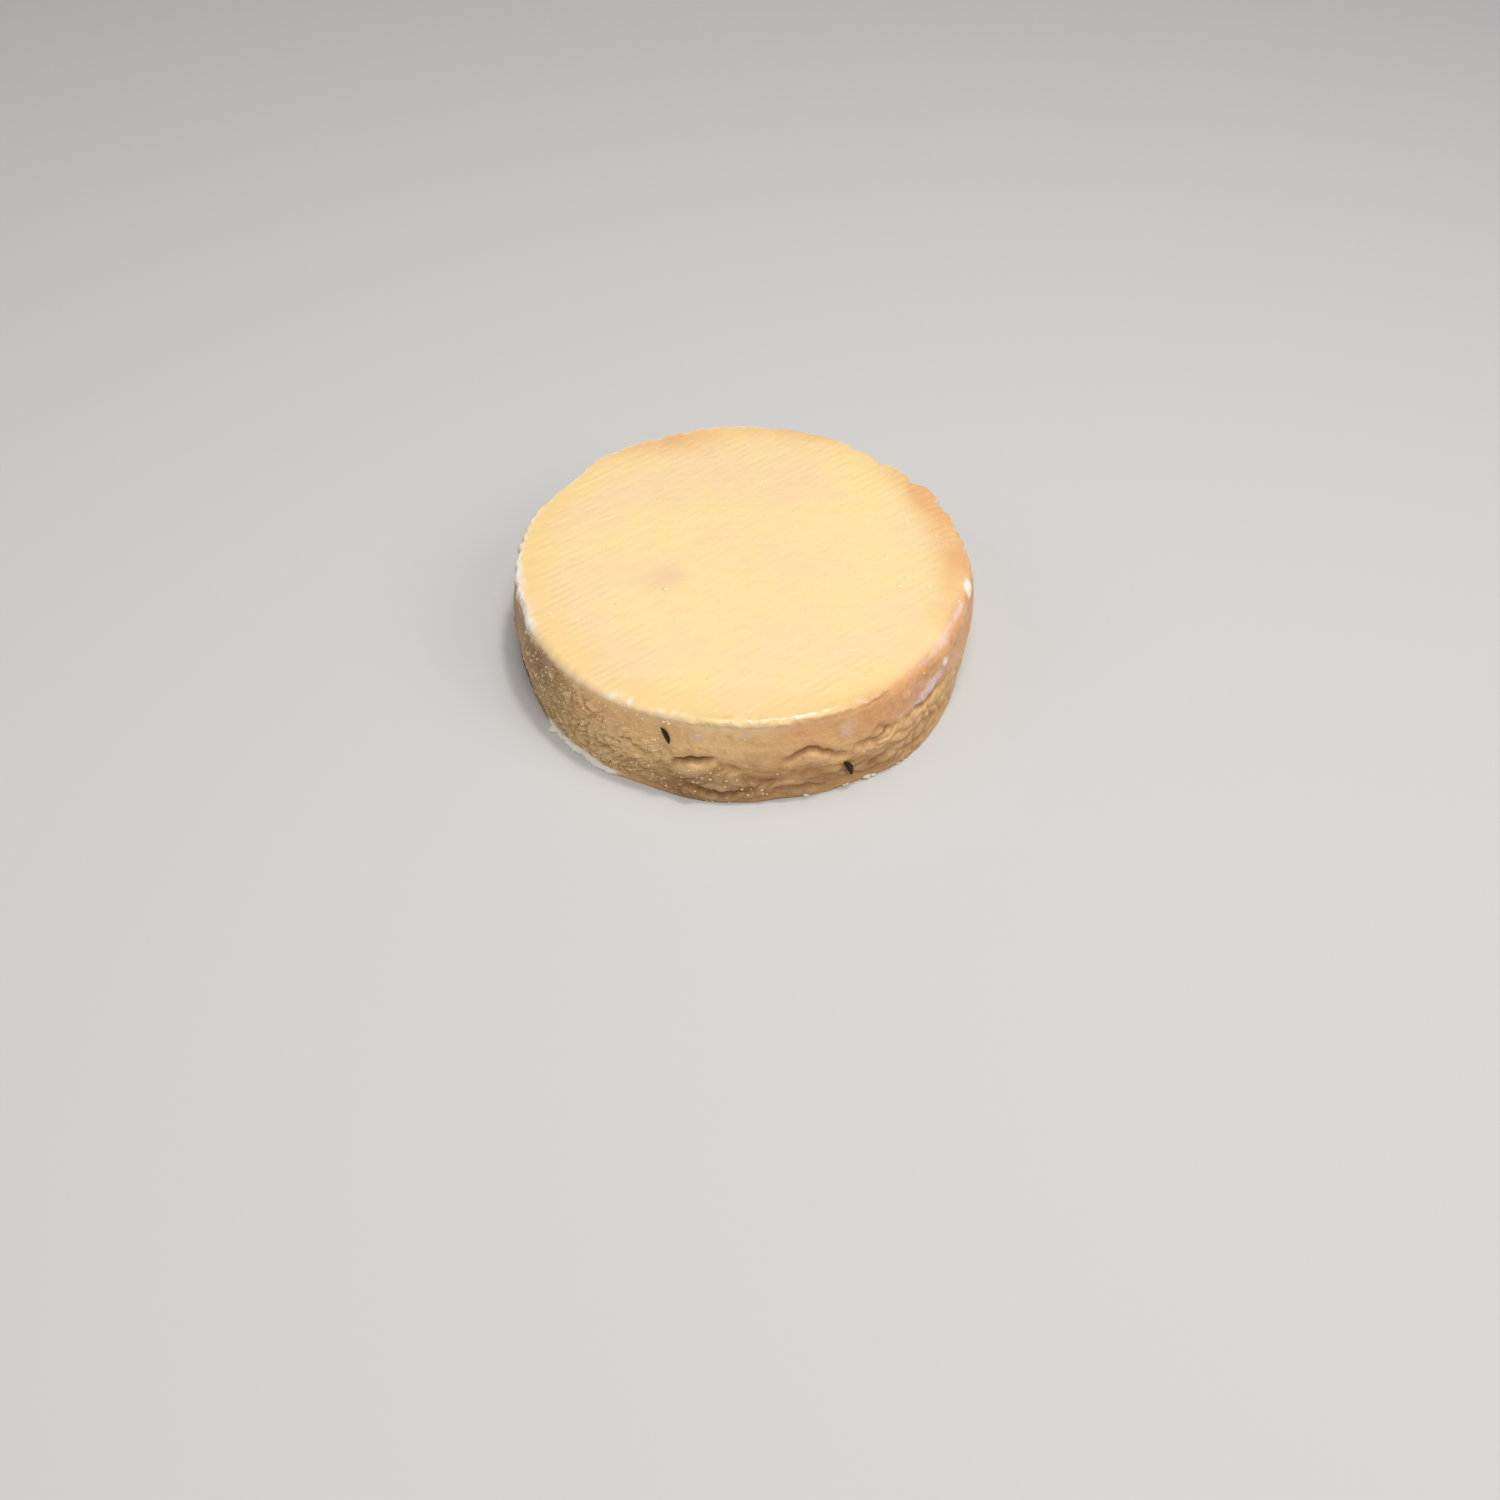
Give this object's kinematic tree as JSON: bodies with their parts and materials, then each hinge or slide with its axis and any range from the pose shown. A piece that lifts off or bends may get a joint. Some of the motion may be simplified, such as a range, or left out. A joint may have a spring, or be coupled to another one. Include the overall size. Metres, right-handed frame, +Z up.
{
  "type": "munster cheese",
  "caption": "Whole small washed-rind munster cheese, a low round wheel with a mat-ridged top, puckered side and caraway on its rind.",
  "frame": {"origin": "middle of the flat underside", "axes": "+Z up through the wheel, -Y towards the viewer of the picture, +X to the viewer's right"},
  "size_m": [0.1082, 0.1083, 0.0238],
  "materials": {
    "rind": "moist semi-matte rind, cream yellow on the top and ochre on the side"
  },
  "bodies": {
    "root": {"cheese": "rind"}
  },
  "joints": []
}
